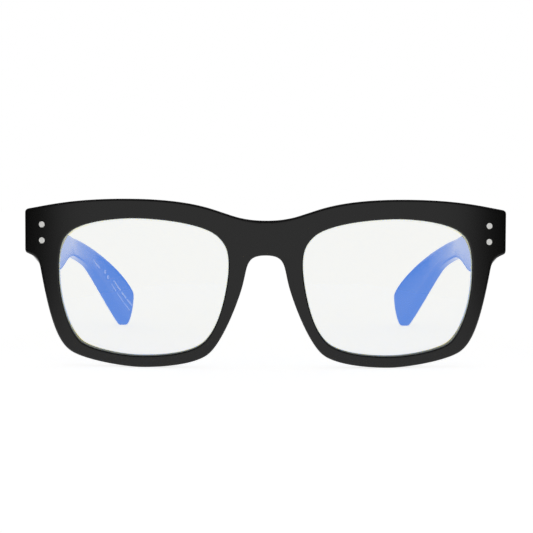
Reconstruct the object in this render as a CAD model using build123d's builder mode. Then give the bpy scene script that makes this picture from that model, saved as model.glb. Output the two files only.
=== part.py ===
from build123d import *
import os
from math import cos, radians, sin, sqrt

# Full-rim reading glasses with light-filtering lenses, standing open on a table.
# x runs across the face (the wearer's left is +x), y from the front towards the
# temple tips, z up from the table. The origin is the centre of the footprint.

os.makedirs("parts", exist_ok=True)

# ---------------------------------------------------------------- driving dimensions, mm
front_width = 145.6  # across the endpieces
overall_depth = 149.0  # bridge front to temple tips
front_height = 51.0  # more than the tallest point of the front

face_form_radius = 300.0  # plan curve of the front
endpiece_radius = 95.0  # tighter plan curve that sweeps the endpieces back
sweep_x = 50.0  # where the tighter curve starts
front_thickness = 4.0

lens_curve_radius = 176.7  # a three dioptre front curve in the 530 index scale
lens_thickness = 1.9
lens_centre = (36.5, 23.85)  # x, z of the lens middle
lens_opening = (51.1, 40.95)  # what a rim leaves of its lens, across and up
lens_lean = 0.132  # sine of the angle a lens is turned outwards
groove_depth = 0.6  # how far a lens edge sits in its rim

endpiece_rear = 14.5  # depth of the flat face that a temple closes against
endpiece_bottom = 33.6
endpiece_inner_x = 61.8

temple_butt = 14.7  # depth where a temple starts, just clear of the endpiece
temple_inner_x = 68.3
temple_thickness = 4.0
temple_bend_start = 93.9  # depth where the temple starts to curve in behind the ear
temple_bend_radius = 95.0
temple_bend_angle = 37.0

core_start, core_knee, core_end = (30.0, 37.6), (95.0, 32.3), (133.0, 20.5)
core_inner_x = 69.7
core_section = (1.2, 2.0)  # flat wire, across and along the temple's height

hinge_x, hinge_y, hinge_z = 64.9, 16.4, 39.9  # pin axis, and the hinge's mid height
barrel_radius = 1.6
knuckle_height = 1.5
knuckle_gap = 0.06
knuckles = 5
pin_radius = 0.7
pin_clearance = 0.04
screw_head = (1.2, 0.6)  # radius, height
screw_slot = (0.35, 0.35)  # width, depth
leaf_thickness = 1.0
leaf_proud = 0.08  # how far the plates stand out of the acetate
front_leaf_inner_x, front_leaf_outer_x = 63.0, 68.7
temple_leaf_start, temple_leaf_end = 16.4, 26.6

rivet_shank, rivet_head, rivet_head_height = 0.6, 0.9, 0.9  # two radii, one height
rivet_proud = 0.08
front_rivet_x = 67.35
front_rivet_offset = 2.4  # above and below the hinge's mid height
temple_rivet_y = 23.6
temple_rivet_offset = 2.1

pad_projection = 8.7  # depth of the nose pads' crowns behind the bridge front

# ---------------------------------------------------------------- worked out
front_y = -overall_depth / 2  # y of the bridge's front face
hinge_height = knuckles * knuckle_height + (knuckles - 1) * knuckle_gap
hinge_bottom = hinge_z - hinge_height / 2
temple_outer_x = temple_inner_x + temple_thickness
sweep_sine = sweep_x / face_form_radius
endpiece_centre = (
    sweep_x - endpiece_radius * sweep_sine,
    face_form_radius - (face_form_radius - endpiece_radius) * sqrt(1 - sweep_sine**2),
)  # x, depth
front_leaf_y = endpiece_rear + leaf_proud  # rear face of the front leaf
temple_leaf_x = temple_inner_x - leaf_proud  # inner face of the temple leaf

face_plane = Plane(origin=(0, front_y, 0), x_dir=(1, 0, 0), z_dir=(0, -1, 0))  # x, z
side_plane = Plane(origin=(0, front_y, 0), x_dir=(0, 1, 0), z_dir=(1, 0, 0))  # depth, z
plan_plane = Plane(origin=(0, front_y, 0))  # x, depth


def finish(piece, label):
    """Labels a finished piece and writes it as its own STEP file."""
    piece.part.label = label
    export_step(piece.part, f"parts/{label}.step")


def mirrored(piece):
    """The wearer's right-hand twin of a left-hand piece."""
    with BuildPart() as twin:
        add(piece.part)
        mirror(about=Plane.YZ, mode=Mode.REPLACE)
    return twin


def face_depth(x, inset=0.0):
    """Depth at x of the curve that runs inset behind the front's face."""
    if abs(x) <= (face_form_radius - inset) * sweep_sine:
        return face_form_radius - sqrt((face_form_radius - inset) ** 2 - x**2)
    aside = abs(x) - endpiece_centre[0]
    return endpiece_centre[1] - sqrt((endpiece_radius - inset) ** 2 - aside**2)


def face_curve(reach, inset=0.0):
    """Three tangent arcs across the front from -reach to reach, inset behind its face."""
    turn = (face_form_radius - inset) * sweep_sine
    half_way = (turn + reach) / 2
    across = (-reach, -half_way, -turn, 0, turn, half_way, reach)
    stops = [(x, face_depth(x, inset)) for x in across]
    for first in (0, 2, 4):
        ThreePointArc(*stops[first : first + 3])


def face_block(depth, proud=0.0):
    """Plan of everything from the front's face, or a little ahead of it, back to depth."""
    reach = front_width / 2 + 1
    edge = face_depth(reach, -proud)
    with BuildSketch(plan_plane) as block:
        with BuildLine():
            face_curve(reach, -proud)
            Polyline((reach, edge), (reach, depth), (-reach, depth), (-reach, edge))
        make_face()
    return block.sketch


def aperture_outline(grow=0.0):
    """The left lens opening as eight smooth spans from its top clockwise, or wider by grow."""
    spans = (
        ((39.19, 44.34), (44.79, 44.34), (55.58, 43.12), (58.78, 40.07)),
        ((58.78, 40.07), (59.9, 39.01), (62.26, 37.6), (62.08, 27.97)),
        ((62.08, 27.97), (61.9, 18.06), (58.42, 9.46), (54.93, 7.06)),
        ((54.93, 7.06), (52.21, 5.19), (43.7, 3.38), (37.27, 3.38)),
        ((37.27, 3.38), (28.93, 3.38), (21.97, 4.61), (18.68, 7.27)),
        ((18.68, 7.27), (13.16, 11.71), (11.13, 25.53), (10.99, 29.42)),
        ((10.99, 29.42), (10.8, 34.38), (11.63, 36.59), (14.12, 38.96)),
        ((14.12, 38.96), (18.67, 43.29), (33.47, 44.34), (39.19, 44.34)),
    )
    middle_x, middle_z = lens_centre
    stretch_x, stretch_z = (1 + 2 * grow / across for across in lens_opening)
    for span in spans:
        grown = [
            (middle_x + (x - middle_x) * stretch_x, middle_z + (z - middle_z) * stretch_z)
            for x, z in span
        ]
        Bezier(*grown)


def front_outline():
    """The left half of the front, from the bridge's top round to its underside."""
    side_x = front_width / 2
    Bezier((0, 43.78), (6.6, 43.78), (9.88, 45.22), (12.23, 45.95))
    Bezier((12.23, 45.95), (16.23, 47.19), (22.7, 50.13), (41.5, 50.13))
    Bezier((41.5, 50.13), (57.7, 50.13), (65.85, 48.06), (71.42, 47.15))
    Bezier((71.42, 47.15), (72.3, 47.0), (side_x, 46.6), (side_x, 45.9))
    Line((side_x, 45.9), (side_x, 35.0))
    Bezier((side_x, 35.0), (side_x, 34.3), (72.6, 33.8), (72.1, 33.61))
    Bezier((72.1, 33.61), (69.1, 32.45), (68.39, 31.7), (67.85, 28.82))
    Bezier((67.85, 28.82), (65.05, 13.95), (62.62, 7.23), (58.6, 4.55))
    Bezier((58.6, 4.55), (54.72, 1.95), (42.5, 0), (36.9, 0))
    Bezier((36.9, 0), (32.2, 0), (21.42, 0.61), (17.1, 3.98))
    Bezier((17.1, 3.98), (13.28, 6.97), (9.08, 17.05), (7.17, 23.32))
    Bezier((7.17, 23.32), (5.2, 29.85), (6.4, 33.49), (0, 33.49))


def temple_profile():
    """The left temple seen from the side: wide front, slim neck, dropped paddle."""
    Bezier((temple_butt, 46.9), (34.0, 43.7), (73.45, 37.65), (101.21, 35.17))
    Bezier((101.21, 35.17), (136.41, 31.69), (overall_depth, 14.62), (overall_depth, 11.57))
    Bezier((overall_depth, 11.57), (overall_depth, 5.6), (146.6, 0), (145.4, 0))
    Bezier((145.4, 0), (144.6, 0), (129.51, 20.1), (119.29, 24.22))
    Bezier((119.29, 24.22), (113.6, 26.52), (97.46, 30.95), (77.48, 28.2))
    Bezier((77.48, 28.2), (55.94, 25.24), (59.6, 23.15), (temple_butt, 34))
    Line((temple_butt, 34), (temple_butt, 46.9))


def plan_band(inner_x, thickness, start):
    """A band of even thickness that runs straight back and then curves inwards."""
    centre = (temple_inner_x - temple_bend_radius, temple_bend_start)
    inner_radius = inner_x - centre[0]
    outer_radius = inner_radius + thickness
    turn = radians(temple_bend_angle)
    inner_end, outer_end = (
        (centre[0] + radius * cos(turn), centre[1] + radius * sin(turn))
        for radius in (inner_radius, outer_radius)
    )
    with BuildSketch(plan_plane) as band:
        with BuildLine():
            Line((inner_x, start), (inner_x, temple_bend_start))
            CenterArc(centre, inner_radius, 0, temple_bend_angle)
            Line(inner_end, outer_end)
            CenterArc(centre, outer_radius, 0, temple_bend_angle)
            Line((inner_x + thickness, temple_bend_start), (inner_x + thickness, start))
            Line((inner_x + thickness, start), (inner_x, start))
        make_face()
    return band.sketch


def knuckle_bottoms(first):
    """Lower faces of every second knuckle, counted up from the hinge's underside."""
    pitch = knuckle_height + knuckle_gap
    return [hinge_bottom + pitch * level for level in range(first, knuckles, 2)]


# ---------------------------------------------------------------- lenses
# A shell of two spheres, whose middle sits flush with the front and nearly square to it.
lens_axis = Vector(-lens_lean, sqrt(1 - lens_lean**2), 0)
lens_front = Vector(lens_centre[0], front_y + face_depth(lens_centre[0]), lens_centre[1])
lens_sphere_centre = lens_front + lens_axis * lens_curve_radius

with BuildPart() as lens_left:
    with BuildSketch(face_plane):
        with BuildLine():
            aperture_outline(groove_depth)
        make_face()
    extrude(amount=-endpiece_rear)
    with Locations(lens_sphere_centre):
        Sphere(lens_curve_radius, mode=Mode.INTERSECT)
        Sphere(lens_curve_radius - lens_thickness, mode=Mode.SUBTRACT)
lens_right = mirrored(lens_left)

# ---------------------------------------------------------------- nose pads
# A crescent on the back of each nasal rim, crowned towards the wearer's nose.
with BuildPart() as nose_pad_left:
    with BuildSketch(face_plane):
        with BuildLine():
            Bezier((7.55, 26.8), (8.3, 21.2), (10.0, 15.8), (12.8, 10.4))
            Line((12.8, 10.4), (14.8, 11.2))
            Bezier((14.8, 11.2), (12.2, 16.0), (10.9, 21.5), (10.5, 26.8))
            Line((10.5, 26.8), (7.55, 26.8))
        make_face()
    extrude(amount=-endpiece_rear)
    with BuildSketch(side_plane):
        with BuildLine():
            ThreePointArc((0, 27.6), (pad_projection, 17.8), (0, 9.4))
            Line((0, 9.4), (0, 27.6))
        make_face()
    extrude(amount=front_width / 2, mode=Mode.INTERSECT)
    with Locations((0, front_y + face_form_radius, front_height / 2)):
        Cylinder(face_form_radius - front_thickness, 2 * front_height, mode=Mode.INTERSECT)
nose_pad_right = mirrored(nose_pad_left)


# ---------------------------------------------------------------- rivets
# Each one has a flush round head outside and a shank that ends flush in its hinge leaf.
def front_rivet(z):
    """A rivet through the endpiece, its head following the front's curve."""
    head_seat = face_depth(front_rivet_x) + rivet_head_height
    with BuildPart() as rivet:
        with BuildSketch(face_plane):
            with Locations((front_rivet_x, z)):
                Circle(rivet_shank)
        extrude(amount=-front_leaf_y)
        with BuildSketch(face_plane):
            with Locations((front_rivet_x, z)):
                Circle(rivet_head)
        extrude(amount=-head_seat)
        extrude(face_block(front_leaf_y, rivet_proud), front_height, mode=Mode.INTERSECT)
    return rivet


def temple_rivet(z):
    """A rivet through the temple, from its leaf out to the flush head."""
    with BuildPart() as rivet:
        with BuildSketch(side_plane.offset(temple_leaf_x)):
            with Locations((temple_rivet_y, z)):
                Circle(rivet_shank)
        extrude(amount=temple_outer_x + rivet_proud - temple_leaf_x)
        with BuildSketch(side_plane.offset(temple_outer_x + rivet_proud)):
            with Locations((temple_rivet_y, z)):
                Circle(rivet_head)
        extrude(amount=-rivet_head_height)
    return rivet


front_rivets = {
    "upper": front_rivet(hinge_z + front_rivet_offset),
    "lower": front_rivet(hinge_z - front_rivet_offset),
}
temple_rivets = {
    "upper": temple_rivet(hinge_z + temple_rivet_offset),
    "lower": temple_rivet(hinge_z - temple_rivet_offset),
}

# ---------------------------------------------------------------- hinge leaves
# Five knuckles on one pin: three belong to the front, two to the temple.
with BuildPart() as front_hinge_leaf_left:
    with BuildSketch(face_plane.offset(-front_leaf_y)):
        with Locations(((front_leaf_inner_x + front_leaf_outer_x) / 2, hinge_z)):
            RectangleRounded(front_leaf_outer_x - front_leaf_inner_x, hinge_height, 0.6)
    extrude(amount=leaf_thickness)
    for bottom in knuckle_bottoms(0):
        with BuildSketch(plan_plane.offset(bottom)):
            with Locations((hinge_x, hinge_y)):
                Circle(barrel_radius)
            with Locations((hinge_x, (hinge_y + front_leaf_y) / 2)):
                Rectangle(2 * barrel_radius, hinge_y - front_leaf_y)
        extrude(amount=knuckle_height)
    # the lowest knuckle is threaded, so its bore is the screw's own size
    with BuildSketch(plan_plane.offset(hinge_bottom)):
        with Locations((hinge_x, hinge_y)):
            Circle(pin_radius)
    extrude(amount=hinge_height, mode=Mode.SUBTRACT)
    with BuildSketch(plan_plane.offset(hinge_bottom + knuckle_height)):
        with Locations((hinge_x, hinge_y)):
            Circle(pin_radius + pin_clearance)
    extrude(amount=hinge_height, mode=Mode.SUBTRACT)
    for rivet in front_rivets.values():
        add(rivet.part, mode=Mode.SUBTRACT)

with BuildPart() as temple_hinge_leaf_left:
    with BuildSketch(side_plane.offset(temple_leaf_x)):
        with Locations(((temple_leaf_start + temple_leaf_end) / 2, hinge_z)):
            RectangleRounded(temple_leaf_end - temple_leaf_start, hinge_height - 0.6, 0.6)
    extrude(amount=leaf_thickness)
    for bottom in knuckle_bottoms(1):
        with BuildSketch(plan_plane.offset(bottom)):
            with Locations((hinge_x, hinge_y)):
                Circle(barrel_radius)
            with Locations(((hinge_x + temple_leaf_x) / 2, hinge_y)):
                Rectangle(temple_leaf_x - hinge_x, 2 * barrel_radius)
            with Locations((temple_leaf_x + leaf_thickness / 2, hinge_y + barrel_radius / 2)):
                Rectangle(leaf_thickness, barrel_radius)
        extrude(amount=knuckle_height)
    with BuildSketch(plan_plane.offset(hinge_bottom)):
        with Locations((hinge_x, hinge_y)):
            Circle(pin_radius + pin_clearance)
    extrude(amount=hinge_height, mode=Mode.SUBTRACT)
    for rivet in temple_rivets.values():
        add(rivet.part, mode=Mode.SUBTRACT)

# ---------------------------------------------------------------- hinge screws
hinge_top = hinge_bottom + hinge_height
with BuildPart() as hinge_screw_left:
    with BuildSketch(plan_plane.offset(hinge_bottom)):
        with Locations((hinge_x, hinge_y)):
            Circle(pin_radius)
    extrude(amount=hinge_height)
    with BuildSketch(plan_plane.offset(hinge_top)):
        with Locations((hinge_x, hinge_y)):
            Circle(screw_head[0])
    extrude(amount=screw_head[1])
    with BuildSketch(plan_plane.offset(hinge_top + screw_head[1])):
        with Locations((hinge_x, hinge_y)):
            Rectangle(2 * screw_head[0], screw_slot[0])
    extrude(amount=-screw_slot[1], mode=Mode.SUBTRACT)

# ---------------------------------------------------------------- temples and their cores
with BuildPart() as temple_core_left:
    with BuildSketch(side_plane):
        with BuildLine():
            lead = Line(core_start, core_knee)
            TangentArc(core_knee, core_end, tangent=lead % 1)
        trace(line_width=core_section[1])
    extrude(amount=front_width / 2)
    extrude(plan_band(core_inner_x, core_section[0], core_start[0] - 2), front_height, mode=Mode.INTERSECT)

with BuildPart() as temple_left:
    with BuildSketch(side_plane):
        with BuildLine():
            temple_profile()
        make_face()
    extrude(amount=front_width)
    extrude(plan_band(temple_inner_x, temple_thickness, temple_butt), front_height, mode=Mode.INTERSECT)
    add(temple_hinge_leaf_left.part, mode=Mode.SUBTRACT)
    add(temple_core_left.part, mode=Mode.SUBTRACT)
    for rivet in temple_rivets.values():
        add(rivet.part, mode=Mode.SUBTRACT)

# ---------------------------------------------------------------- front frame
# The outline is carried back to the endpieces' flat rear faces, curved in plan at the
# front, and hollowed behind so that only the endpieces keep the full depth.
def rear_hollow(half_width, floor):
    """Plan of the space behind the rims: a curved front wall and slanted side walls."""
    wall_y = face_depth(half_width, front_thickness)
    flare = 2.5
    rear = max(wall_y, endpiece_rear) + 1
    with BuildSketch(plan_plane.offset(floor)) as hollow:
        with BuildLine():
            face_curve(half_width, front_thickness)
            Polyline(
                (half_width, wall_y),
                (half_width + flare, rear),
                (-half_width - flare, rear),
                (-half_width, wall_y),
            )
        make_face()
    return hollow.sketch


with BuildPart() as front_frame:
    with BuildSketch(face_plane):
        with BuildLine():
            front_outline()
            mirror(about=Plane.YZ)
        make_face()
        with BuildLine():
            aperture_outline()
        make_face(mode=Mode.SUBTRACT)
        with BuildLine():
            aperture_outline()
            mirror(about=Plane.YZ, mode=Mode.REPLACE)
        make_face(mode=Mode.SUBTRACT)
    extrude(amount=-endpiece_rear)
    extrude(face_block(endpiece_rear), front_height, mode=Mode.INTERSECT)
    extrude(rear_hollow(endpiece_inner_x, endpiece_bottom), front_height, mode=Mode.SUBTRACT)
    extrude(rear_hollow(front_width / 2, -1), endpiece_bottom + 1, mode=Mode.SUBTRACT)
    for held in [lens_left, front_hinge_leaf_left, *front_rivets.values()]:
        add(held.part, mode=Mode.SUBTRACT)
        add(mirrored(held).part, mode=Mode.SUBTRACT)

# ---------------------------------------------------------------- hand over
finish(front_frame, "front_frame")
pairs = {
    "lens": lens_left,
    "nose_pad": nose_pad_left,
    "front_hinge_leaf": front_hinge_leaf_left,
    "temple_hinge_leaf": temple_hinge_leaf_left,
    "hinge_screw": hinge_screw_left,
    "temple_core": temple_core_left,
    "temple": temple_left,
}
for place, rivet in front_rivets.items():
    pairs[f"front_rivet_{place}"] = rivet
for place, rivet in temple_rivets.items():
    pairs[f"temple_rivet_{place}"] = rivet
for label, piece in pairs.items():
    finish(piece, f"{label}_left")
    finish(mirrored(piece), f"{label}_right")
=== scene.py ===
import math

import bmesh
import bpy
import numpy as np
from mathutils import Matrix, Vector


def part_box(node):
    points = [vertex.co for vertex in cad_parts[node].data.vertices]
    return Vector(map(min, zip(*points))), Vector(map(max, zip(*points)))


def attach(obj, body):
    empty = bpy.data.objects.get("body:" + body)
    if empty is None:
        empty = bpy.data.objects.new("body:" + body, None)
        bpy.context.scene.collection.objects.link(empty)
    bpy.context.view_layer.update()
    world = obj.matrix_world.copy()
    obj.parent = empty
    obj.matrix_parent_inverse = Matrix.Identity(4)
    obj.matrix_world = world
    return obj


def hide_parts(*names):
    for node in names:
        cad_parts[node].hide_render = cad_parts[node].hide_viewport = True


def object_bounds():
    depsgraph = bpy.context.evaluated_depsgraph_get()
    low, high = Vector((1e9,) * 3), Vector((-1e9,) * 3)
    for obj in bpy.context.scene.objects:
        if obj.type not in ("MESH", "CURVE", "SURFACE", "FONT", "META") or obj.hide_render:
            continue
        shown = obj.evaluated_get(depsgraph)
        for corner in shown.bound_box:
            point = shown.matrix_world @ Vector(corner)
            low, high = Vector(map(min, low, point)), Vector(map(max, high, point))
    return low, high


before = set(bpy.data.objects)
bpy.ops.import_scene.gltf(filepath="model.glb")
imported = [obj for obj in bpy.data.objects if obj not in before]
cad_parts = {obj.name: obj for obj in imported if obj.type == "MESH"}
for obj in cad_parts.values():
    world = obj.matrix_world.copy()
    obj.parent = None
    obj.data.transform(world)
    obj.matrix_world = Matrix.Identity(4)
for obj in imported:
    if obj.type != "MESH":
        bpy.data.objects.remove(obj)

# Full-rim glasses with coated lenses. Shapes are worked out in millimetres and set in metres.
scene = bpy.context.scene
mm = 0.001
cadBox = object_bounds()
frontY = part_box("front_frame")[0].y / mm      # the bridge's front face
floorZ = cadBox[0][2]
print("frame loaded:", len(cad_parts), "nodes")


# small tools

def hexToLinear(text, alpha=1.0):
    # sRGB hex to linear: c / 12.92 below 0.04045, else ((c + 0.055) / 1.055) ^ 2.4
    c = np.array([int(text[k:k + 2], 16) for k in (1, 3, 5)]) / 255
    c = np.where(c < 0.04045, c / 12.92, ((c + 0.055) / 1.055) ** 2.4)
    return (*c.tolist(), alpha)


def addNode(tree, kind, settings=None, **inputs):
    # settings go on the node; an input is a value for its socket or the socket that feeds it
    made = tree.nodes.new(kind)
    for key, value in (settings or {}).items():
        setattr(made, key, value)
    for key, value in inputs.items():
        name = key.replace("_", " ")
        socket = made.inputs[int(name[1:])] if name[1:].isdigit() else made.inputs[name]
        if isinstance(value, bpy.types.NodeSocket):
            tree.links.new(value, socket)
        else:
            socket.default_value = value
    return made


def newMaterial(name):
    made = bpy.data.materials.new(name)
    made.use_nodes = True
    made.node_tree.nodes.clear()
    return made, made.node_tree


def showShader(tree, shader):
    addNode(tree, "ShaderNodeOutputMaterial", Surface=shader)


def alongSpans(spans, perSpan=40):
    # Cubic spans end to end: (1-t)^3 a + 3 (1-t)^2 t b + 3 (1-t) t^2 c + t^3 d
    p = np.array(spans, float)
    t = np.linspace(0, 1, perSpan, endpoint=False)[None, :, None]
    a, b, c, d = (p[:, None, k] for k in range(4))
    curve = (1 - t) ** 3 * a + 3 * (1 - t) ** 2 * t * b + 3 * (1 - t) * t ** 2 * c + t ** 3 * d
    return np.vstack([curve.reshape(-1, 2), p[-1, 3]])


def straight(a, b):
    # the four points of a straight span
    a, b = np.array(a, float), np.array(b, float)
    return [a, a + (b - a) / 3, b - (b - a) / 3, b]


def arcLength(curve):
    # running length: the sum of |p[k+1] - p[k]|
    return np.concatenate([[0], np.cumsum(np.hypot(*np.diff(curve, axis=0).T))])


def evenStretches(curve, knots, counts):
    # the curve cut at the samples nearest its knots, each stretch spaced evenly by length
    along = arcLength(curve)
    cuts = [along[np.argmin(((curve - k) ** 2).sum(1))] for k in knots]
    cuts = [0.0, *cuts, along[-1]]
    stretches = zip(cuts, cuts[1:], counts)
    where = [np.linspace(a, b, n, endpoint=False) for a, b, n in stretches]
    where = np.append(np.concatenate(where), along[-1])
    return np.column_stack([np.interp(where, along, curve[:, k]) for k in (0, 1)])


def edgeDistance(points, outline):
    # least |p - a - t (b - a)| over the outline's pieces, t = clip((p - a).(b - a) / |b - a|^2, 0, 1)
    flat = points.reshape(-1, 1, 2).astype(np.float32)
    a, run = outline[:-1].astype(np.float32), np.diff(outline, axis=0).astype(np.float32)
    away = flat - a
    t = np.clip((away * run).sum(-1) / np.maximum((run ** 2).sum(-1), 1e-9), 0, 1)
    away -= t[..., None] * run
    return np.sqrt((away ** 2).sum(-1).min(1)).reshape(points.shape[:-1])


def roundover(distance, radius):
    # how far a rounded edge has dropped: r - sqrt(r^2 - (r - d)^2) while d < r, then 0
    inside = np.clip(radius - distance, 0, radius)
    return radius - np.sqrt(np.maximum(radius ** 2 - inside ** 2, 0))


def acrossSteps(length, radius, middle):
    # distances across a band: r (1 - cos a) close to both edges, even steps between
    near = np.append(1 - np.cos(np.radians(np.linspace(0, 90, 8))), 1.4)
    near = near[None, :] * np.broadcast_to(radius, length.shape)[:, None]
    share = np.linspace(0, 1, middle + 2)[None, 1:-1]
    low, high = near[:, -1:], length[:, None] - near[:, -1:]
    return np.hstack([near, low + (high - low) * share, length[:, None] - near[:, ::-1]])


def meshFrom(name, patches, material, mirrored=False):
    # patches are grids of points, rows x columns x 3, in millimetres; equal points are merged
    verts, faces, start = [], [], 0
    for grid in patches:
        rows, cols = grid.shape[:2]
        at = start + np.arange(rows * cols).reshape(rows, cols)
        corners = [at[:-1, :-1], at[1:, :-1], at[1:, 1:], at[:-1, 1:]]
        faces.append(np.stack(corners, -1).reshape(-1, 4))
        verts.append(grid.reshape(-1, 3))
        start += rows * cols
    points = np.vstack(verts) * mm
    if mirrored:
        points = points * (-1, 1, 1)
    mesh = bpy.data.meshes.new(name)
    mesh.from_pydata(points.tolist(), [], np.vstack(faces).tolist())
    work = bmesh.new()
    work.from_mesh(mesh)
    bmesh.ops.remove_doubles(work, verts=work.verts, dist=0.004 * mm)
    bmesh.ops.dissolve_degenerate(work, edges=work.edges, dist=0.001 * mm)
    bmesh.ops.recalc_face_normals(work, faces=work.faces)
    work.to_mesh(mesh)
    work.free()
    mesh.shade_smooth()
    made = bpy.data.objects.new(name, mesh)
    scene.collection.objects.link(made)
    made.data.materials.append(material)
    return made


# materials

def satinAcetate(name, colour, shade, roughness, shine):
    # Cellulose acetate sheet, milled and tumbled: near black, with a faint cloudy change in depth,
    # highlights as wide as its roughness makes them, and a fine grain that only shows close up.
    made, tree = newMaterial(name)
    place = addNode(tree, "ShaderNodeTexCoord").outputs["Object"]
    cloud = addNode(tree, "ShaderNodeTexNoise", Vector=place, Scale=1 / (9 * mm), Detail=3.0)
    tint = addNode(tree, "ShaderNodeMix", {"data_type": "RGBA"}, Factor=cloud.outputs["Fac"],
                   _6=hexToLinear(colour), _7=hexToLinear(shade))
    grain = addNode(tree, "ShaderNodeTexNoise", Vector=place, Scale=1 / (0.35 * mm), Detail=2.0)
    skin = addNode(tree, "ShaderNodeMapRange", Value=grain.outputs["Fac"], To_Min=roughness - 0.04,
                   To_Max=roughness + 0.04)
    bump = addNode(tree, "ShaderNodeBump", Strength=0.06, Distance=0.02 * mm,
                   Height=grain.outputs["Fac"])
    shader = addNode(tree, "ShaderNodeBsdfPrincipled", Base_Color=tint.outputs[2],
                     Roughness=skin.outputs[0], Normal=bump.outputs[0], IOR=1.48,
                     Specular_IOR_Level=shine)
    showShader(tree, shader.outputs[0])
    return made


def finishedMetal(name, colour, shade, roughness, stretch, grit, metallic=1.0):
    # Nickel silver or steel, filed and polished: pale and slightly warm, with fine lines along the
    # stroke. A low metallic share over a near-white colour is a painted highlight: it keeps a small
    # head pale where it has little to mirror.
    made, tree = newMaterial(name)
    place = addNode(tree, "ShaderNodeTexCoord").outputs["Object"]
    turned = addNode(tree, "ShaderNodeMapping", Vector=place, Scale=stretch)
    lines = addNode(tree, "ShaderNodeTexNoise", Vector=turned.outputs[0], Scale=1 / (grit * mm),
                    Detail=4.0)
    skin = addNode(tree, "ShaderNodeMapRange", Value=lines.outputs["Fac"], To_Min=roughness - 0.08,
                   To_Max=roughness + 0.08)
    bump = addNode(tree, "ShaderNodeBump", Strength=0.1, Distance=0.01 * mm,
                   Height=lines.outputs["Fac"])
    tint = addNode(tree, "ShaderNodeMix", {"data_type": "RGBA"}, Factor=lines.outputs["Fac"],
                   _6=hexToLinear(colour), _7=hexToLinear(shade))
    shader = addNode(tree, "ShaderNodeBsdfPrincipled", Base_Color=tint.outputs[2], Metallic=metallic,
                     Roughness=skin.outputs[0], Normal=bump.outputs[0])
    showShader(tree, shader.outputs[0])
    return made


def coatedLens(name, mirrorTint, throughTint):
    # Clear moulded lens with a vacuum-laid coating that turns blue light back: what passes and
    # what is mirrored add up to white, so it looks clear over white and blue over anything dark.
    made, tree = newMaterial(name)
    place = addNode(tree, "ShaderNodeTexCoord").outputs["Object"]
    film = addNode(tree, "ShaderNodeTexNoise", Vector=place, Scale=1 / (30 * mm), Detail=1.0)
    depth = addNode(tree, "ShaderNodeMix", {"data_type": "RGBA"}, Factor=film.outputs["Fac"],
                    _6=mirrorTint[0], _7=mirrorTint[1])
    mirror = addNode(tree, "ShaderNodeBsdfGlossy", Color=depth.outputs[2], Roughness=0.03)
    through = addNode(tree, "ShaderNodeBsdfTransparent", Color=throughTint)
    both = addNode(tree, "ShaderNodeAddShader", _0=through.outputs[0], _1=mirror.outputs[0])
    showShader(tree, both.outputs[0])
    return made


def clearLensBack(name):
    # The lens's rear and edge: bare polished plastic, nearly all clear, with a slight glint.
    made, tree = newMaterial(name)
    place = addNode(tree, "ShaderNodeTexCoord").outputs["Object"]
    haze = addNode(tree, "ShaderNodeTexNoise", Vector=place, Scale=1 / (12 * mm), Detail=2.0)
    skin = addNode(tree, "ShaderNodeMapRange", Value=haze.outputs["Fac"], To_Min=0.02, To_Max=0.05)
    mirror = addNode(tree, "ShaderNodeBsdfGlossy", Color=(1, 1, 1, 1), Roughness=skin.outputs[0])
    through = addNode(tree, "ShaderNodeBsdfTransparent", Color=(0.985, 0.99, 0.985, 1))
    both = addNode(tree, "ShaderNodeMixShader", _0=0.012, _1=through.outputs[0],
                   _2=mirror.outputs[0])
    showShader(tree, both.outputs[0])
    return made


def groundEdge(name):
    # The lens's edge, ground on a stone: frosted and pale, greenish from the depth of the lens.
    made, tree = newMaterial(name)
    place = addNode(tree, "ShaderNodeTexCoord").outputs["Object"]
    stone = addNode(tree, "ShaderNodeTexNoise", Vector=place, Scale=1 / (0.3 * mm), Detail=2.0)
    tint = addNode(tree, "ShaderNodeMix", {"data_type": "RGBA"}, Factor=stone.outputs["Fac"],
                   _6=hexToLinear("#dfe6da"), _7=hexToLinear("#edf1e8"))
    shader = addNode(tree, "ShaderNodeBsdfPrincipled", Base_Color=tint.outputs[2], Roughness=0.7)
    showShader(tree, shader.outputs[0])
    return made


def safetyBevel(name):
    # The narrow bevel round a lens's face: cut through the coating, part clear and part frosted.
    made, tree = newMaterial(name)
    place = addNode(tree, "ShaderNodeTexCoord").outputs["Object"]
    stone = addNode(tree, "ShaderNodeTexNoise", Vector=place, Scale=1 / (0.4 * mm), Detail=2.0)
    share = addNode(tree, "ShaderNodeMapRange", Value=stone.outputs["Fac"], To_Min=0.18, To_Max=0.3)
    clear = addNode(tree, "ShaderNodeBsdfTransparent", Color=(0.95, 0.985, 0.94, 1))
    frost = addNode(tree, "ShaderNodeBsdfDiffuse", Color=hexToLinear("#edf2ea"))
    both = addNode(tree, "ShaderNodeMixShader", _0=share.outputs[0], _1=clear.outputs[0],
                   _2=frost.outputs[0])
    showShader(tree, both.outputs[0])
    return made


def printedInk(name):
    # Pad-printed grey ink on the satin black: matt, a little thin in places.
    made, tree = newMaterial(name)
    place = addNode(tree, "ShaderNodeTexCoord").outputs["Object"]
    patchy = addNode(tree, "ShaderNodeTexNoise", Vector=place, Scale=1 / (0.4 * mm), Detail=3.0)
    tint = addNode(tree, "ShaderNodeMix", {"data_type": "RGBA"}, Factor=patchy.outputs["Fac"],
                   _6=hexToLinear("#9da0a6"), _7=hexToLinear("#c6c8cc"))
    shader = addNode(tree, "ShaderNodeBsdfPrincipled", Base_Color=tint.outputs[2], Roughness=0.6)
    showShader(tree, shader.outputs[0])
    return made


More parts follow.
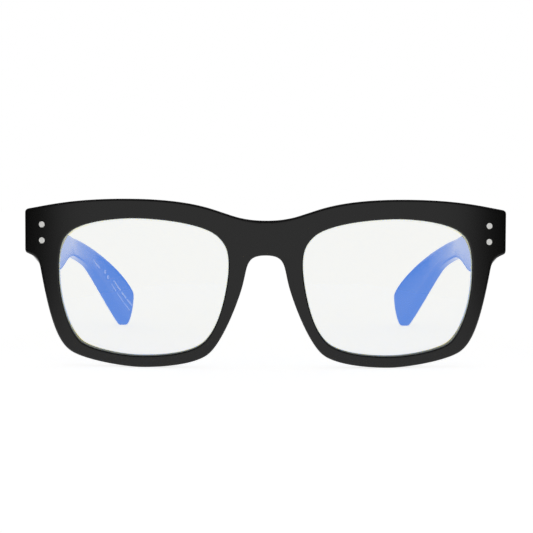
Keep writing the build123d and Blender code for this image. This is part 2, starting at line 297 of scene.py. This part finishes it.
frontAcetate = satinAcetate("satin_black_acetate_front", "#020202", "#040403", 0.28, 0.38)
templeAcetate = satinAcetate("polished_black_acetate_temple", "#040404", "#060606", 0.16, 0.5)
padAcetate = satinAcetate("satin_black_acetate_pad", "#040404", "#070706", 0.45, 0.42)
# the rivets are pale nickel silver; their near-white colour with a metallic share of 0.15 is a painted
# highlight
rivetPaintedHighlightMetal = finishedMetal("nickel_silver_rivet_painted_highlight", "#fcfbf8", "#f0f0ec", 0.5, (1, 1, 1), 0.5, 0.15)
hingeMetal = finishedMetal("brushed_nickel_silver", "#bcb9b0", "#d6d3ca", 0.32, (0.08, 1, 1), 0.12)
screwMetal = finishedMetal("turned_steel", "#b4b4b4", "#cacaca", 0.3, (1, 1, 0.1), 0.15)
coreMetal = finishedMetal("drawn_nickel_silver_wire", "#b8b6ae", "#cfcdc6", 0.35, (1, 0.05, 1), 0.2)
lensFront = coatedLens("blue_turning_lens_coating",
                       [(0.079, 0.225, 0.712, 1), (0.083, 0.233, 0.728, 1)], (0.83, 0.685, 0.18, 1))
lensBack = clearLensBack("polished_lens_back")
lensEdge = groundEdge("ground_lens_edge")
lensBevel = safetyBevel("cut_lens_bevel")
ink = printedInk("pad_printed_grey_ink")
print("materials made")


# the two outlines of the front, x and z on its face

aperture = [
    [(39.19, 44.34), (44.79, 44.34), (55.58, 43.12), (58.78, 40.07)],
    [(58.78, 40.07), (59.9, 39.01), (62.26, 37.6), (62.08, 27.97)],
    [(62.08, 27.97), (61.9, 18.06), (58.42, 9.46), (54.93, 7.06)],
    [(54.93, 7.06), (52.21, 5.19), (43.7, 3.38), (37.27, 3.38)],
    [(37.27, 3.38), (28.93, 3.38), (21.97, 4.61), (18.68, 7.27)],
    [(18.68, 7.27), (13.16, 11.71), (11.13, 25.53), (10.99, 29.42)],
    [(10.99, 29.42), (10.8, 34.38), (11.63, 36.59), (14.12, 38.96)],
    [(14.12, 38.96), (18.67, 43.29), (33.47, 44.34), (39.19, 44.34)],
]
rimOutline = [
    [(0, 43.78), (6.6, 43.78), (9.88, 45.22), (12.23, 45.95)],
    [(12.23, 45.95), (16.23, 47.19), (22.7, 50.13), (41.5, 50.13)],
    [(41.5, 50.13), (57.7, 50.13), (65.85, 48.06), (71.42, 47.15)],
    [(71.42, 47.15), (72.3, 47.0), (72.8, 46.6), (72.8, 45.9)],
    straight((72.8, 45.9), (72.8, 35.0)),
    [(72.8, 35.0), (72.8, 34.3), (72.6, 33.8), (72.1, 33.61)],
    [(72.1, 33.61), (69.1, 32.45), (68.39, 31.7), (67.85, 28.82)],
    [(67.85, 28.82), (65.05, 13.95), (62.62, 7.23), (58.6, 4.55)],
    [(58.6, 4.55), (54.72, 1.95), (42.5, 0), (36.9, 0)],
    [(36.9, 0), (32.2, 0), (21.42, 0.61), (17.1, 3.98)],
    [(17.1, 3.98), (13.28, 6.97), (9.08, 17.05), (7.17, 23.32)],
    [(7.17, 23.32), (5.2, 29.85), (6.4, 33.49), (0, 33.49)],
]

front = {
    "faceRadius": 300.0,      # plan curve
    "endRadius": 95.0, "sweepFrom": 50.0,     # the ends sweep back tighter from here
    "thickness": 4.0,
    "outerRound": 0.7, "innerRound": 0.45, "rearRound": 0.5,
    "endpieceRear": 14.5, "endpieceInner": 61.8, "endpieceRamp": 2.1,
    "endpieceUnder": 33.6, "underRamp": 0.7,
    "middleSteps": 8,
}

# where a point of the outline is tied to a point of the lens opening, and the steps up to it
ties = [
    ((12.23, 45.95), (17.0, 40.9), 30),
    ((41.5, 50.13), (39.19, 44.34), 46),
    ((63.5, 48.5), (57.2, 41.4), 36),
    ((71.42, 47.15), (60.0, 38.7), 18),
    ((72.8, 45.9), (60.6, 37.8), 10),
    ((72.8, 35.0), (61.9, 32.7), 24),
    ((72.1, 33.61), (62.0, 31.8), 10),
    ((67.85, 28.82), (62.08, 27.97), 18),
    ((58.6, 4.55), (56.3, 8.3), 50),
    ((36.9, 0), (37.27, 3.38), 44),
    ((17.1, 3.98), (18.68, 7.27), 36),
    ((7.17, 23.32), (11.3, 23.8), 44),
    ((4.5, 32.1), (11.2, 33.2), 32),
    ((0, 33.49), (12.6, 37.3), 18),
]
tieEnd = ((0, 43.78), (14.6, 39.4), 26)


def frontDepth(x, inset=0.0):
    # y of the face in plan: R - sqrt((R - i)^2 - x^2), and where the ends sweep back
    # c - sqrt((r - i)^2 - (|x| - m)^2), with the smaller arc's centre (m, c) on the larger one's radius
    big, small = front["faceRadius"], front["endRadius"]
    sine = front["sweepFrom"] / big
    m, c = front["sweepFrom"] - small * sine, big - (big - small) * math.sqrt(1 - sine ** 2)
    x, turn = np.abs(x), (big - inset) * sine
    middle = big - np.sqrt((big - inset) ** 2 - np.minimum(x, turn) ** 2)
    end = c - np.sqrt((small - inset) ** 2 - np.maximum(x - m, 0) ** 2)
    return frontY + np.where(x < turn, middle, end)


def smoothStep(value, low, high):
    # 3 t^2 - 2 t^3 with t the share of the way from low to high
    t = np.clip((value - low) / (high - low), 0, 1)
    return t * t * (3 - 2 * t)


def rearDepth(x, z):
    # the rims' back, raised smoothly to the endpieces' flat rear faces
    thin = np.minimum(frontDepth(x, front["thickness"]), frontY + front["endpieceRear"])
    inner, under = front["endpieceInner"], front["endpieceUnder"]
    raised = smoothStep(np.abs(x), inner, inner + front["endpieceRamp"])
    raised = raised * smoothStep(z, under, under + front["underRamp"])
    return thin + (frontY + front["endpieceRear"] - thin) * raised


def makeFront():
    # half a front as a ring of straight lines from the lens opening to the outline:
    # P(u, v) = I(u) + (O(u) - I(u)) v, faces at frontDepth and rearDepth less the rounded edges
    outer = alongSpans(rimOutline + [straight((0, 33.49), (0, 43.78))])
    loop = alongSpans(aperture)[:-1]
    begin = np.argmin(((loop - tieEnd[1]) ** 2).sum(1))
    loop = np.roll(loop, -begin, axis=0)
    inner = np.vstack([loop, loop[:1]])
    counts = [t[2] for t in ties] + [tieEnd[2]]
    outerRing = evenStretches(outer, [t[0] for t in ties], counts)
    innerRing = evenStretches(inner, [t[1] for t in ties], counts)
    length = np.hypot(*(outerRing - innerRing).T)
    steps = acrossSteps(length, front["outerRound"], front["middleSteps"]) / length[:, None]
    spot = innerRing[:, None] + (outerRing - innerRing)[:, None] * steps[..., None]
    fromOuter = edgeDistance(spot, alongSpans(rimOutline, 24))
    fromInner = edgeDistance(spot, alongSpans(aperture, 30))
    x, z = spot[..., 0], spot[..., 1]
    ahead = frontDepth(x) + roundover(fromOuter, front["outerRound"])
    ahead = ahead + roundover(fromInner, front["innerRound"])
    behind = rearDepth(x, z) - roundover(fromOuter, front["rearRound"])
    behind = behind - roundover(fromInner, front["rearRound"])
    face, back = np.stack([x, ahead, z], -1), np.stack([x, behind, z], -1)
    share = np.linspace(0, 1, 4)[None, :, None]
    rimEnd = sum(counts[:-1]) + 1                     # the outline proper, without the bridge's middle
    innerWall = face[:, :1] + (back[:, :1] - face[:, :1]) * share
    outerWall = face[:rimEnd, -1:] + (back[:rimEnd, -1:] - face[:rimEnd, -1:]) * share
    half = [face, back, innerWall, outerWall]
    whole = half + [grid * (-1, 1, 1) for grid in half]
    made = meshFrom("front_shell", whole, frontAcetate)
    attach(made, "front")
    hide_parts("front_frame")
    return made


makeFront()
print("front made")


# lenses

lens = {
    "radius": 176.7, "thickness": 1.9, "middle": (36.5, 23.85), "opening": (51.1, 40.95),
    "lean": 0.132, "intoRim": 0.55, "rings": 22,
    "bevel": 0.3, "edgeInside": 0.06, "edgeDepth": 2.7,    # the cut edge that shows beside the rim
}


def makeLens(side, mirrored):
    # a polar grid over the opening, grown into the rim, on two spheres about one centre:
    # y = cy - sqrt(R^2 - (x - cx)^2 - (z - cz)^2)
    middle, opening = np.array(lens["middle"]), np.array(lens["opening"])
    centre = np.array([middle[0], frontDepth(middle[0]), middle[1]])
    centre = centre + lens["radius"] * np.array([-lens["lean"], math.sqrt(1 - lens["lean"] ** 2), 0])
    loop = alongSpans(aperture, 26) - middle

    def onSphere(spot, radius):
        x, z = spot[..., 0], spot[..., 1]
        y = centre[1] - np.sqrt(radius ** 2 - (x - centre[0]) ** 2 - (z - centre[2]) ** 2)
        return np.stack([x, y, z], -1)

    share = np.sin(np.linspace(0, math.pi / 2, lens["rings"]))[:, None, None]
    spot = middle + (loop * (1 - 2 * lens["bevel"] / opening))[None] * share
    spot = np.concatenate([spot, middle + (loop * (1 + 2 * lens["intoRim"] / opening))[None]])
    ahead, behind = (onSphere(spot, lens["radius"] - back) for back in (0, lens["thickness"]))
    line = onSphere(middle + loop * (1 - 2 * lens["edgeInside"] / opening), lens["radius"])
    edge = np.stack([line + (0, back, 0) for back in (0.0, lens["edgeDepth"])])
    grids = [ahead, behind, np.stack([ahead[-1], behind[-1]]), edge]
    made = meshFrom("lens_shell_" + side, grids, lensFront, mirrored)
    for finish in (lensBack, lensEdge, lensBevel):
        made.data.materials.append(finish)
    count = len(made.data.polygons)
    normals, centres = np.zeros(count * 3), np.zeros(count * 3)
    made.data.polygons.foreach_get("normal", normals)
    made.data.polygons.foreach_get("center", centres)
    normals, spots = normals.reshape(-1, 3), centres.reshape(-1, 3) / mm
    upright = np.abs(normals[:, 1]) < 0.5
    # the front sphere carries the coating up to the bevel, upright faces are the ground edge
    spots[:, 0] = np.abs(spots[:, 0])
    reach = np.sqrt(((spots - centre) ** 2).sum(1))
    ahead = ~upright & (reach > lens["radius"] - lens["thickness"] / 2)
    bevel = edgeDistance(spots[:, ::2], alongSpans(aperture, 26)) < lens["bevel"]
    kinds = np.where(ahead, np.where(bevel, 3, 0), np.where(upright, 2, 1)).astype(np.int32)
    made.data.polygons.foreach_set("material_index", kinds)
    made.data.polygons.foreach_set("use_smooth", ~upright)
    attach(made, "front")
    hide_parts("lens_" + side)


makeLens("left", False)
makeLens("right", True)
print("lenses made")


# nose pads

pad = {
    "top": (8.95, 26.7), "bend": (9.95, 17.6), "bottom": (13.75, 10.9),   # middle line, x and z
    "halfWidth": 1.4, "height": 4.5, "sunk": 0.4, "lean": 0.9, "rows": 40, "columns": 17,
}


def makePad(side, mirrored):
    # middle line: (1-s)^2 a + 2 (1-s) s b + s^2 c; height h sin(pi s)^0.7 (1 - |t|^2.6)^(1/2.2),
    # width w sin(pi s)^0.45, crown leaning sideways with the height
    s = (1 - np.cos(np.linspace(0, math.pi, pad["rows"]))) / 2
    t = -np.cos(np.linspace(0, math.pi, pad["columns"]))
    s, t = np.meshgrid(s, t, indexing="ij")
    a, b, c = (np.array(pad[k]) for k in ("top", "bend", "bottom"))
    line = [(1 - s) ** 2 * a[k] + 2 * (1 - s) * s * b[k] + s ** 2 * c[k] for k in (0, 1)]
    tangent = [2 * (1 - s) * (b[k] - a[k]) + 2 * s * (c[k] - b[k]) for k in (0, 1)]
    size = np.hypot(*tangent)
    arch = np.clip(np.sin(math.pi * s), 0, 1)
    width = pad["halfWidth"] * arch ** 0.45
    lift = pad["height"] * arch ** 0.7 * np.clip(1 - np.abs(t) ** 2.6, 0, 1) ** (1 / 2.2)
    x = line[0] - tangent[1] / size * width * t
    z = line[1] + tangent[0] / size * width * t
    base = frontDepth(x, front["thickness"]) - pad["sunk"]
    crown = np.stack([x + pad["lean"] * lift / pad["height"], base + lift, z], -1)
    foot = np.stack([x, base, z], -1)
    made = meshFrom("nose_pad_" + side + "_shaped", [crown, foot], padAcetate, mirrored)
    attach(made, "front")
    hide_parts("nose_pad_" + side)


makePad("left", False)
makePad("right", True)
print("nose pads made")


# temples

templeTop = [
    [(14.7, 46.9), (34.0, 43.7), (73.45, 37.65), (101.21, 35.17)],
    [(101.21, 35.17), (136.41, 31.69), (149.0, 14.62), (149.0, 11.57)],
    [(149.0, 11.57), (149.0, 5.6), (146.6, 0), (145.4, 0)],
]
templeUnder = [
    [(14.7, 34.0), (59.6, 23.15), (55.94, 25.24), (77.48, 28.2)],
    [(77.48, 28.2), (97.46, 30.95), (113.6, 26.52), (119.29, 24.22)],
    [(119.29, 24.22), (129.51, 20.1), (144.6, 0), (145.4, 0)],
]
temple = {
    "butt": 14.7, "inner": 68.3, "thickness": 4.0,
    "bendStart": 93.9, "bendRadius": 95.0,
    "frontRound": 0.7, "paddleRound": 1.5, "roundFrom": 80, "roundTo": 125,
    "buttRound": 0.3, "buttStep": 0.12, "middleSteps": 8, "lengthSteps": 190,
    "tip": (147.4, 2.6),      # end of the paddle, where upper and lower edge meet
}


def templeFace(depth, offset):
    # x of the bent sheet: straight, then xc + sqrt(r^2 - (y - bend)^2), with r = R + offset
    past = np.clip(depth - temple["bendStart"], 0, None)
    centre = temple["inner"] - temple["bendRadius"]
    return centre + np.sqrt((temple["bendRadius"] + offset) ** 2 - past ** 2)


def makeTemple(side, mirrored):
    # straight lines from the lower to the upper edge, Q(u, v) = B(u) + (T(u) - B(u)) v, each point
    # set on the bent sheet's inner and outer face less the rounded edge
    ring = np.vstack([alongSpans(templeTop), alongSpans(templeUnder)[::-1][1:]])
    turn = np.argmin(((ring - temple["tip"]) ** 2).sum(1))
    upper, lower = ring[:turn + 1], ring[turn:][::-1]
    step = temple["buttStep"] * np.arange(5)
    spread = 0.006 + 0.994 * np.sin(np.linspace(0, math.pi / 2, temple["lengthSteps"]))
    rows = []
    for edge in (upper, lower):
        along = arcLength(edge)
        run = along[-1]
        share = np.concatenate([step / run, spread])
        rows.append(np.column_stack([np.interp(share * run, along, edge[:, k]) for k in (0, 1)]))
    top, under = rows
    across = np.hypot(*(top - under).T)
    ease = smoothStep(top[:, 0], temple["roundFrom"], temple["roundTo"])
    radius = temple["frontRound"] + (temple["paddleRound"] - temple["frontRound"]) * ease
    steps = acrossSteps(across, np.minimum(radius, across / 3.2), temple["middleSteps"])
    steps = steps / np.maximum(across, 1e-6)[:, None]
    steps[-1] = np.linspace(0, 1, steps.shape[1])
    spot = under[:, None] + (top - under)[:, None] * steps[..., None]
    outline = np.vstack([alongSpans(templeTop, 70), alongSpans(templeUnder, 70)[::-1]])
    away = edgeDistance(spot, outline)
    depth, z = spot[..., 0], spot[..., 1]
    drop = roundover(away, radius[:, None]) + roundover(depth - temple["butt"], temple["buttRound"])
    inside = np.stack([templeFace(depth, 0) + drop, depth + frontY, z], -1)
    outside = np.stack([templeFace(depth, temple["thickness"]) - drop, depth + frontY, z], -1)
    share = np.linspace(0, 1, 4)[None, :, None]
    joins = [a[:, None] + (b - a)[:, None] * share for a, b in
             ((inside[:, 0], outside[:, 0]), (inside[:, -1], outside[:, -1]), (inside[0], outside[0]))]
    made = meshFrom("temple_" + side + "_shaped", [inside, outside, *joins], templeAcetate, mirrored)
    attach(made, side + "_arm")
    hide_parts("temple_" + side)


makeTemple("left", False)
makeTemple("right", True)
print("temples made")


# plain printed marks inside the wearer's right temple: bars and dots that say nothing

marks = {
    "lift": 0.03, "thickness": 0.05,
    "bars": [                 # start and end, y and z along the paddle, then width
        ((120.8, 26.9), (126.3, 23.4), 0.75),
        ((136.6, 18.0), (140.8, 13.8), 0.65), ((141.3, 13.3), (143.9, 10.7), 0.65),
        ((144.4, 10.2), (147.1, 7.6), 0.65),
        ((135.2, 16.7), (138.1, 13.7), 0.4), ((138.5, 13.2), (142.5, 9.2), 0.4),
        ((142.9, 8.8), (145.8, 5.8), 0.4),
    ],
    "dots": [((130.6, 21.7), 0.75), ((132.8, 19.5), 0.75)],   # middle and radius
}


def makeMarks():
    # a bar is p(u, v) = a + (b - a) u + n w v; a dot is m + r v (cos a, sin a); both lie on the sheet
    grids = []
    for a, b, width in marks["bars"]:
        a, b = np.array(a), np.array(b)
        n = np.array([-(b - a)[1], (b - a)[0]]) / np.hypot(*(b - a))
        u, v = np.meshgrid(np.linspace(0, 1, 9), np.linspace(-0.5, 0.5, 3), indexing="ij")
        grids.append(a + (b - a) * u[..., None] + n * width * v[..., None])
    for m, radius in marks["dots"]:
        a, v = np.meshgrid(np.linspace(0, 2 * math.pi, 25), np.linspace(0.35, 1, 3), indexing="ij")
        grids.append(np.array(m) + radius * v[..., None] * np.stack([np.cos(a), np.sin(a)], -1))
    sheets = [np.stack([templeFace(g[..., 0], -marks["lift"]), g[..., 0] + frontY, g[..., 1]], -1)
              for g in grids]
    made = meshFrom("temple_marks_right", sheets, ink, True)
    thick = made.modifiers.new("film", "SOLIDIFY")
    thick.thickness = marks["thickness"] * mm
    thick.offset = 0
    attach(made, "right_arm")


makeMarks()
print("marks made")


# carried-over metal

finishes = {
    "rivet": rivetPaintedHighlightMetal, "hinge_leaf": hingeMetal, "hinge_screw": screwMetal, "temple_core": coreMetal,
}
for name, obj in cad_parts.items():
    for part, finish in finishes.items():
        if part in name:
            obj.data.materials.clear()
            obj.data.materials.append(finish)
print("metal finished")


# floor, light and camera

stage = {
    "floor": [(-0.17, -0.6), (0.17, -0.6), (0.17, 0.0), (1.2, 3.5), (-1.2, 3.5), (-0.17, 0.0)],
    "glow": 0.80,             # the sweep's own light, so that shadows on it stay faint
    "card": 1.0, "aside": 0.02, "above": 0.2,
    "cardWidth": (0.86, 1.06), "cardTop": (0.29, 0.42),
}


def makeFloor():
    # White paper sweep: matt, faintly mottled by its fibres, with a glow that keeps shadows pale.
    made, tree = newMaterial("white_paper_sweep")
    place = addNode(tree, "ShaderNodeTexCoord").outputs["Object"]
    fibre = addNode(tree, "ShaderNodeTexNoise", Vector=place, Scale=1 / (2 * mm), Detail=2.0)
    tint = addNode(tree, "ShaderNodeMix", {"data_type": "RGBA"}, Factor=fibre.outputs["Fac"],
                   _6=hexToLinear("#f7f7f7"), _7=hexToLinear("#fbfbfb"))
    paper = addNode(tree, "ShaderNodeBsdfDiffuse", Color=tint.outputs[2])
    glow = addNode(tree, "ShaderNodeEmission", Strength=stage["glow"])
    both = addNode(tree, "ShaderNodeAddShader", _0=paper.outputs[0], _1=glow.outputs[0])
    showShader(tree, both.outputs[0])
    mesh = bpy.data.meshes.new("floor")
    mesh.from_pydata([(x, y, floorZ) for x, y in stage["floor"]], [], [(0, 1, 2, 5), (5, 2, 3, 4)])
    floor = bpy.data.objects.new("floor", mesh)
    scene.collection.objects.link(floor)
    floor.data.materials.append(made)


def makeLight():
    # white cards before and behind the glasses, no wider than |x| / |y| = cardWidth and no higher
    # than cardTop; dim at the sides and softly lit from above; seen directly it is plain white
    world = bpy.data.worlds.new("studio")
    scene.world = world
    world.use_nodes = True
    tree = world.node_tree
    tree.nodes.clear()
    ray = addNode(tree, "ShaderNodeTexCoord").outputs["Generated"]
    part = addNode(tree, "ShaderNodeSeparateXYZ", Vector=ray)
    across, along = (addNode(tree, "ShaderNodeMath", {"operation": "ABSOLUTE"}, _0=part.outputs[k])
                     for k in ("X", "Y"))
    turn = addNode(tree, "ShaderNodeMath", {"operation": "DIVIDE"}, _0=across.outputs[0],
                   _1=along.outputs[0])
    narrow = addNode(tree, "ShaderNodeMapRange", Value=turn.outputs[0], From_Min=stage["cardWidth"][0],
                     From_Max=stage["cardWidth"][1], To_Min=1.0, To_Max=0.0)
    low = addNode(tree, "ShaderNodeMapRange", Value=part.outputs["Z"], From_Min=stage["cardTop"][0],
                  From_Max=stage["cardTop"][1], To_Min=1.0, To_Max=0.0)
    card = addNode(tree, "ShaderNodeMath", {"operation": "MULTIPLY"}, _0=narrow.outputs[0],
                   _1=low.outputs[0])
    rest = addNode(tree, "ShaderNodeMapRange", Value=part.outputs["Z"], From_Min=0.15, From_Max=0.6,
                   To_Min=stage["aside"], To_Max=stage["above"])
    level = addNode(tree, "ShaderNodeMapRange", Value=card.outputs[0], To_Min=rest.outputs[0],
                    To_Max=stage["card"])
    straightOn = addNode(tree, "ShaderNodeLightPath").outputs["Is Camera Ray"]
    seen = addNode(tree, "ShaderNodeMapRange", Value=straightOn, To_Min=level.outputs[0], To_Max=1.0)
    sky = addNode(tree, "ShaderNodeBackground", Color=(1, 1, 1, 1), Strength=seen.outputs[0])
    addNode(tree, "ShaderNodeOutputWorld", Surface=sky.outputs[0])


camera = {
    "distance": 450.0,        # from the plane of the endpieces' outer edges
    "edgePlane": 8.9, "height": 52.0, "aside": -2.0,
    "target": (0.262, 29.862), "lens": 101.0, "sensor": 36.0, "roll": 0.22,
}


def makeCamera():
    plane = frontY + camera["edgePlane"]
    data = bpy.data.cameras.new("view")
    data.lens, data.sensor_width = camera["lens"], camera["sensor"]
    data.clip_start, data.clip_end = 0.01, 20
    obj = bpy.data.objects.new("view", data)
    obj.location = Vector((camera["aside"], plane - camera["distance"], camera["height"])) * mm
    target = Vector((camera["target"][0], plane, camera["target"][1])) * mm
    turned = (target - obj.location).to_track_quat("-Z", "Y").to_matrix().to_4x4()
    obj.rotation_euler = (turned @ Matrix.Rotation(math.radians(camera["roll"]), 4, "Z")).to_euler()
    scene.collection.objects.link(obj)
    scene.camera = obj


makeFloor()
makeLight()
makeCamera()
scene.view_settings.view_transform = "Standard"
print("stage made")
